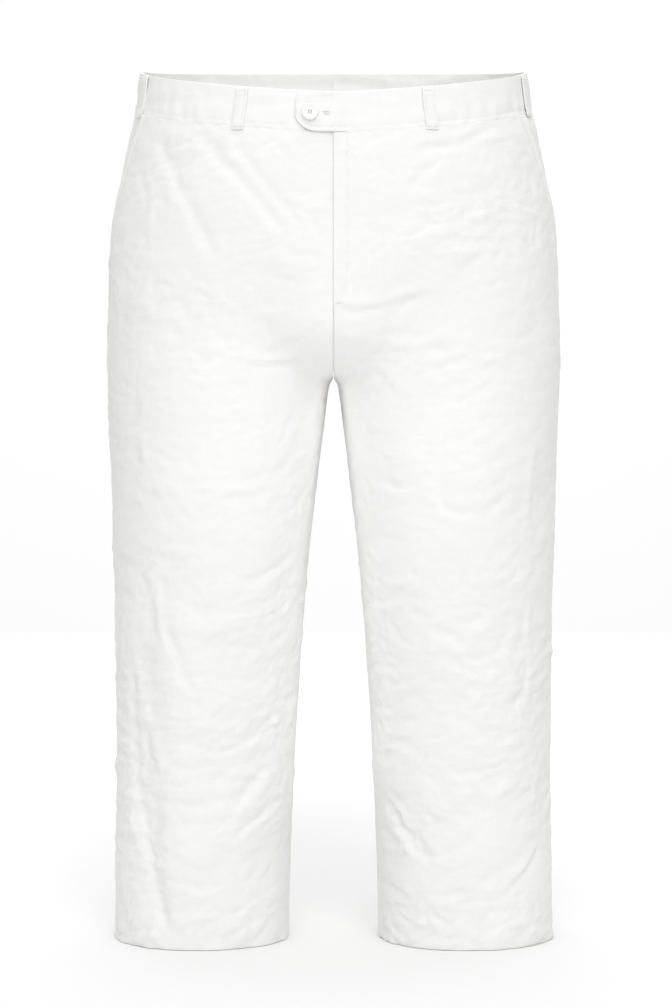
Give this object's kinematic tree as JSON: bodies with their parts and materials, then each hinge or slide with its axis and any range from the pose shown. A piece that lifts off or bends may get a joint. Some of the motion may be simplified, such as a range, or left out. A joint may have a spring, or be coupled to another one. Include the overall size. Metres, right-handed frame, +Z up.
{
  "type": "capri pants",
  "caption": "White cropped linen-cotton trousers, filled out as worn, with a buttoned waistband tab, lapped fly, slant pockets, belt loops and turned-up hems.",
  "frame": {"origin": "middle of the waistband's ring, at half its height at the side seams, where the wearer's waist holds the trousers up", "axes": "+Z up from the hems to the waist, the front faces -Y, +X to the wearer's left"},
  "size_m": [0.4484, 0.2943, 0.8695],
  "materials": {
    "trouser_cloth": "matte washed plain-weave linen and cotton, soft crumples",
    "waistband_cloth": "the same cloth doubled and stiffened, matte",
    "zip_tape": "plain woven tape, matte",
    "button": "satin, off-white"
  },
  "bodies": {
    "root": {"front_left": "trouser_cloth", "front_right": "trouser_cloth", "back_left": "trouser_cloth", "back_right": "trouser_cloth", "pocket_facing_left": "trouser_cloth", "pocket_facing_right": "trouser_cloth", "waistband_left": "waistband_cloth", "waistband_right": "waistband_cloth", "belt_loop_front_left": "waistband_cloth", "belt_loop_front_right": "waistband_cloth", "belt_loop_side_left": "waistband_cloth", "belt_loop_side_right": "waistband_cloth", "belt_loop_back_left": "waistband_cloth", "belt_loop_back_right": "waistband_cloth", "belt_loop_back_centre": "waistband_cloth", "fly_zip": "zip_tape", "waist_button": "button"}
  },
  "joints": []
}
